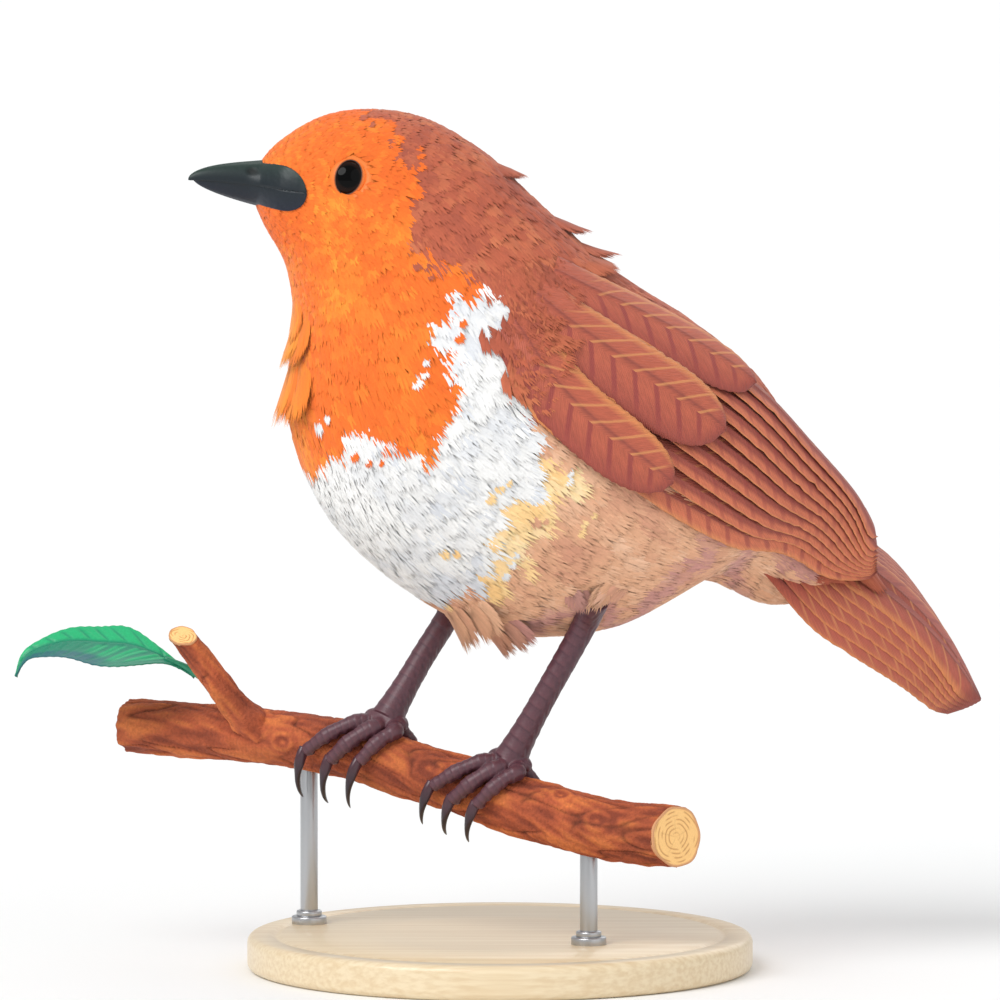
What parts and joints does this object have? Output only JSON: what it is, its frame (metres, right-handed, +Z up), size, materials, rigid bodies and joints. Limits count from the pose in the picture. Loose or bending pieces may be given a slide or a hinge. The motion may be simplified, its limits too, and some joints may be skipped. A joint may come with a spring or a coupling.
{
  "type": "european robin model on a branch perch",
  "caption": "Life-size european robin standing on a cut length of branch with a side twig and a leaf, on a plain round display stand.",
  "frame": {"origin": "centre of the stand base's underside", "axes": "+Z up; the bird's bill points to -X and its left side faces -Y, turned 12 degrees toward -Y"},
  "size_m": [0.1375, 0.072, 0.1231],
  "materials": {
    "plumage_orange": "soft orange contour feathers of the face, throat and breast",
    "plumage_brown": "warm brown contour and flight feathers",
    "plumage_white": "loose white to buff belly feathers",
    "horn": "dark blue-grey horn, smooth and slightly glossy",
    "eye": "near-black wet eye with a clear highlight",
    "leg_skin": "thin dark purplish-brown scaly skin",
    "claw": "dark horn, slightly glossy",
    "bark": "reddish-brown fissured bark with pale ringed cut ends",
    "leaf": "fresh green leaf with raised veins, soft sheen",
    "stand_wood": "pale maple, satin",
    "stand_metal": "plain brushed steel rod"
  },
  "bodies": {
    "root": {"head": "plumage_orange", "neck": "plumage_orange", "trunk": "plumage_brown", "wing_left": "plumage_brown", "wing_right": "plumage_brown", "tail": "plumage_brown", "thigh_left": "plumage_white", "thigh_right": "plumage_white", "bill_upper": "horn", "bill_lower": "horn", "eye_left": "eye", "eye_right": "eye", "tarsus_left": "leg_skin", "tarsus_right": "leg_skin", "toe_left_inner": "leg_skin", "toe_left_middle": "leg_skin", "toe_left_outer": "leg_skin", "toe_left_hind": "leg_skin", "toe_right_inner": "leg_skin", "toe_right_middle": "leg_skin", "toe_right_outer": "leg_skin", "toe_right_hind": "leg_skin", "claw_left_inner": "claw", "claw_left_middle": "claw", "claw_left_outer": "claw", "claw_left_hind": "claw", "claw_right_inner": "claw", "claw_right_middle": "claw", "claw_right_outer": "claw", "claw_right_hind": "claw", "perch_branch": "bark", "perch_twig": "bark", "perch_leaf": "leaf", "stand_base": "stand_wood", "stand_rod_far": "stand_metal", "stand_rod_near": "stand_metal"}
  },
  "joints": []
}
